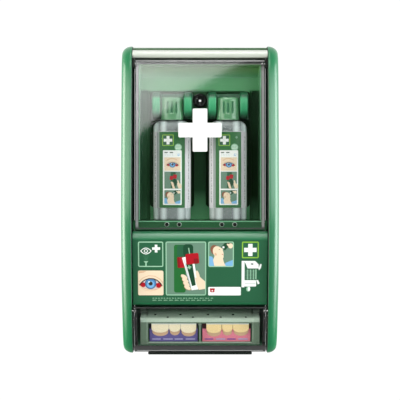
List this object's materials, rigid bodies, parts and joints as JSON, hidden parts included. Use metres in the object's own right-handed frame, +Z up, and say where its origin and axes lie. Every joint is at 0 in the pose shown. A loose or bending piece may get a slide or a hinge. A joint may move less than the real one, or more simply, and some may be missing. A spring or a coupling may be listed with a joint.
{
  "type": "eyewash station",
  "caption": "Wall-hung green eyewash station: saline bottles hung by their caps behind a clear lift-up cover, above an instruction panel and a plaster dispenser.",
  "frame": {"origin": "middle of the wall face: the centre of the back, on the plane that lies against the wall", "axes": "+X to the right as seen from the front, +Y into the wall, so the front faces -Y, +Z up"},
  "size_m": [0.29, 0.12, 0.5821],
  "materials": {
    "green_shell": "moulded glossy ABS",
    "pale_rail": "moulded pale grey-white, high gloss",
    "clear_cover": "clear moulded styrene, polished",
    "clear_bottle": "clear blown PET",
    "saline": "clear water-like liquid",
    "green_cap": "moulded polypropylene, satin",
    "bottle_label_print": "printed film label",
    "white_print": "self-adhesive vinyl",
    "panel_label_print": "printed self-adhesive vinyl",
    "black_plastic": "moulded, satin",
    "eye_cup_white": "moulded polyethylene, satin",
    "zinc_screw": "zinc plated",
    "hinge_steel": "drawn stainless pin",
    "dispenser_grey_green": "smoky translucent moulded styrene",
    "smoke_grip": "dark moulded strip",
    "card_blue": "printed refill card",
    "card_pink": "printed refill card",
    "plaster_fabric": "elastic plaster in its paper wrap"
  },
  "bodies": {
    "station": {"wall_plate": "green_shell", "left_side_bow": "green_shell", "right_side_bow": "green_shell", "roof_panel": "green_shell", "bay_liner": "green_shell", "bottle_shelf": "green_shell", "front_panel": "green_shell", "left_cap_holder": "green_shell", "right_cap_holder": "green_shell", "hanging_grommet": "black_plastic", "left_upper_hinge_bush": "black_plastic", "right_upper_hinge_bush": "black_plastic", "cover_bumper_1": "black_plastic", "cover_bumper_2": "black_plastic", "cover_bumper_3": "black_plastic", "cover_bumper_4": "black_plastic", "top_rail": "pale_rail", "left_upper_hinge_pin": "hinge_steel", "right_upper_hinge_pin": "hinge_steel", "left_lower_hinge_pin": "hinge_steel", "right_lower_hinge_pin": "hinge_steel", "left_holder_screw_1": "zinc_screw", "right_holder_screw_1": "zinc_screw", "left_holder_screw_2": "zinc_screw", "right_holder_screw_2": "zinc_screw", "instruction_label": "panel_label_print", "left_cap": "green_cap", "right_cap": "green_cap", "dispenser_housing": "dispenser_grey_green", "left_refill": "card_blue", "right_refill": "card_pink", "left_plaster_1": "plaster_fabric", "left_plaster_2": "plaster_fabric", "left_plaster_3": "plaster_fabric", "right_plaster_1": "plaster_fabric", "right_plaster_2": "plaster_fabric", "right_plaster_3": "plaster_fabric"},
    "upper_cover": {"upper_cover": "clear_cover", "cover_cross": "white_print"},
    "lower_cover": {"lower_cover": "clear_cover", "lower_cover_pull": "smoke_grip"},
    "left_bottle": {"left_bottle": "clear_bottle", "left_saline": "saline", "left_bottle_label": "bottle_label_print", "left_eye_cup": "eye_cup_white"},
    "right_bottle": {"right_bottle": "clear_bottle", "right_saline": "saline", "right_bottle_label": "bottle_label_print", "right_eye_cup": "eye_cup_white"}
  },
  "joints": [
    {"name": "upper_cover_hinge", "type": "hinge", "parent": "station", "child": "upper_cover", "pos_m": [0, -0.084, 0.253], "axis": [-1, 0, 0], "range_deg": [0, 100]},
    {"name": "lower_cover_hinge", "type": "hinge", "parent": "station", "child": "lower_cover", "pos_m": [0, -0.087, -0.206], "axis": [-1, 0, 0], "range_deg": [0, 90]},
    {"name": "left_bottle_twist", "type": "hinge", "parent": "station", "child": "left_bottle", "pos_m": [-0.0526, -0.055, 0.055], "axis": [0, 0, -1], "range_deg": [0, 90]},
    {"name": "right_bottle_twist", "type": "hinge", "parent": "station", "child": "right_bottle", "pos_m": [0.0526, -0.055, 0.055], "axis": [0, 0, -1], "range_deg": [0, 90]}
  ]
}
